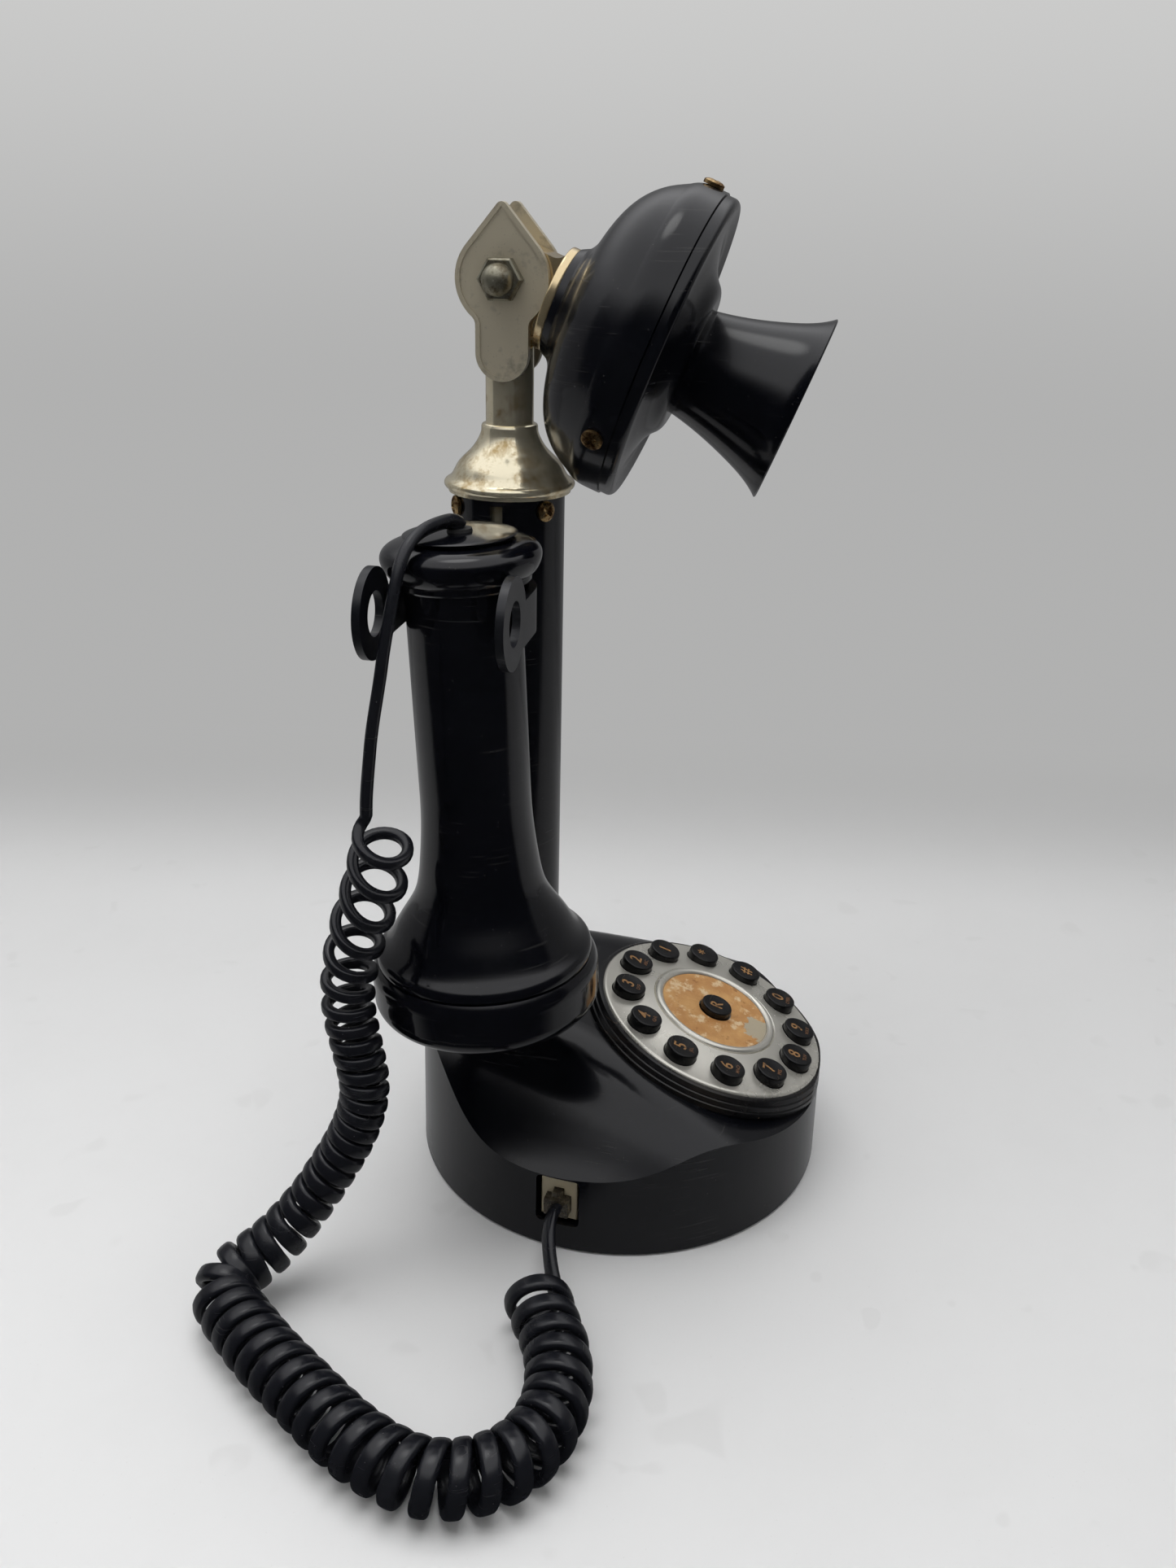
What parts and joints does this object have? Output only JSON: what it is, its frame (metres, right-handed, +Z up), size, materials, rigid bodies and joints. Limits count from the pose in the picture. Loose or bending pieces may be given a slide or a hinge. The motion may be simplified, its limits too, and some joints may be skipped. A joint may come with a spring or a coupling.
{
  "type": "candlestick telephone",
  "caption": "Candlestick desk telephone with push-buttons in a ring on its round base, a receiver hung in a forked hook, a tilting mouthpiece horn and a curly cord.",
  "frame": {"origin": "on the table, under the column's axis", "axes": "+Z up along the column, -Y the way the mouthpiece and keypad face, -X the receiver's side"},
  "size_m": [0.2392, 0.1716, 0.3048],
  "materials": {
    "black_moulding": "gloss",
    "hook_moulding": "semi-gloss",
    "key_caps": "satin",
    "bright_chrome": "polished",
    "nickel_plate": "satin",
    "gold_plate": "polished",
    "dark_steel": "aged",
    "brass_screw": "aged",
    "silver_dial": "brushed",
    "tan_card": "aged paper",
    "cream_moulding": "satin",
    "clear_plug": "clear, grubby",
    "cord_jacket": "satin",
    "foot_rubber": "matte",
    "contact_rubber": "matte",
    "circuit_board": "satin",
    "cast_weight": "painted",
    "alloy_can": "satin",
    "spring_steel": "bright",
    "grey_plate": "fine texture"
  },
  "bodies": {
    "stand": {"acorn_nut": "dark_steel", "ballast_weight": "cast_weight", "base_feet": "foot_rubber", "base_housing": "black_moulding", "base_plate": "grey_plate", "base_screws": "dark_steel", "card_ring": "silver_dial", "coil_lying": "cord_jacket", "column_collar": "bright_chrome", "column_screws": "brass_screw", "column_tube": "black_moulding", "dial_bezel": "black_moulding", "dial_plate": "silver_dial", "handset_jack": "cream_moulding", "handset_plug": "clear_plug", "hook_spring": "spring_steel", "hook_switch": "grey_plate", "key_mat": "contact_rubber", "keypad_board": "circuit_board", "line_jack": "cream_moulding", "main_board": "circuit_board", "number_card": "tan_card", "pivot_pin": "spring_steel", "plug_lead": "cord_jacket", "stem_tube": "bright_chrome", "tone_ringer": "alloy_can", "yoke_bolt": "dark_steel", "yoke_plate_far": "nickel_plate", "yoke_plate_near": "nickel_plate"},
    "transmitter": {"transmitter_knuckle": "gold_plate", "rear_shell": "black_moulding", "front_bezel": "black_moulding", "mouthpiece_horn": "black_moulding", "mic_capsule": "alloy_can", "rim_screws": "brass_screw"},
    "receiver": {"receiver_body": "black_moulding", "receiver_cap": "black_moulding", "ear_cap": "black_moulding", "receiver_capsule": "alloy_can", "cord_grommet": "cord_jacket", "receiver_lead": "cord_jacket", "coil_hanging": "cord_jacket"},
    "hook": {"hook_fork": "hook_moulding"},
    "key_0": {"key_0": "key_caps"},
    "key_1": {"key_1": "key_caps"},
    "key_2": {"key_2": "key_caps"},
    "key_3": {"key_3": "key_caps"},
    "key_4": {"key_4": "key_caps"},
    "key_5": {"key_5": "key_caps"},
    "key_6": {"key_6": "key_caps"},
    "key_7": {"key_7": "key_caps"},
    "key_8": {"key_8": "key_caps"},
    "key_9": {"key_9": "key_caps"},
    "key_star": {"key_star": "key_caps"},
    "key_hash": {"key_hash": "key_caps"},
    "key_redial": {"key_redial": "key_caps"}
  },
  "joints": [
    {"name": "transmitter_tilt", "type": "hinge", "parent": "stand", "child": "transmitter", "pos_m": [0, 0, 0.2782], "axis": [-1, 0, 0], "range_deg": [0, 40]},
    {"name": "receiver_lift", "type": "slide", "parent": "stand", "child": "receiver", "axis": [-0.7071, 0.0333, 0.7063], "range_m": [0, 0.14]},
    {"name": "hook_rise", "type": "hinge", "parent": "stand", "child": "hook", "pos_m": [-0.005, 0, 0.198], "axis": [0, 1, 0], "range_deg": [0, 8]},
    {"name": "key_0_press", "type": "slide", "parent": "stand", "child": "key_0", "axis": [0, 0.3256, -0.9455], "range_m": [0, 0.002], "stiffness_N_per_m": 150},
    {"name": "key_1_press", "type": "slide", "parent": "stand", "child": "key_1", "axis": [0, 0.3256, -0.9455], "range_m": [0, 0.002], "stiffness_N_per_m": 150},
    {"name": "key_2_press", "type": "slide", "parent": "stand", "child": "key_2", "axis": [0, 0.3256, -0.9455], "range_m": [0, 0.002], "stiffness_N_per_m": 150},
    {"name": "key_3_press", "type": "slide", "parent": "stand", "child": "key_3", "axis": [0, 0.3256, -0.9455], "range_m": [0, 0.002], "stiffness_N_per_m": 150},
    {"name": "key_4_press", "type": "slide", "parent": "stand", "child": "key_4", "axis": [0, 0.3256, -0.9455], "range_m": [0, 0.002], "stiffness_N_per_m": 150},
    {"name": "key_5_press", "type": "slide", "parent": "stand", "child": "key_5", "axis": [0, 0.3256, -0.9455], "range_m": [0, 0.002], "stiffness_N_per_m": 150},
    {"name": "key_6_press", "type": "slide", "parent": "stand", "child": "key_6", "axis": [0, 0.3256, -0.9455], "range_m": [0, 0.002], "stiffness_N_per_m": 150},
    {"name": "key_7_press", "type": "slide", "parent": "stand", "child": "key_7", "axis": [0, 0.3256, -0.9455], "range_m": [0, 0.002], "stiffness_N_per_m": 150},
    {"name": "key_8_press", "type": "slide", "parent": "stand", "child": "key_8", "axis": [0, 0.3256, -0.9455], "range_m": [0, 0.002], "stiffness_N_per_m": 150},
    {"name": "key_9_press", "type": "slide", "parent": "stand", "child": "key_9", "axis": [0, 0.3256, -0.9455], "range_m": [0, 0.002], "stiffness_N_per_m": 150},
    {"name": "key_star_press", "type": "slide", "parent": "stand", "child": "key_star", "axis": [0, 0.3256, -0.9455], "range_m": [0, 0.002], "stiffness_N_per_m": 150},
    {"name": "key_hash_press", "type": "slide", "parent": "stand", "child": "key_hash", "axis": [0, 0.3256, -0.9455], "range_m": [0, 0.002], "stiffness_N_per_m": 150},
    {"name": "key_redial_press", "type": "slide", "parent": "stand", "child": "key_redial", "axis": [0, 0.3256, -0.9455], "range_m": [0, 0.002], "stiffness_N_per_m": 150}
  ],
  "couplings": [
    {"joint": "hook_rise", "follows": "receiver_lift", "rad_per_m": 0.99633}
  ]
}
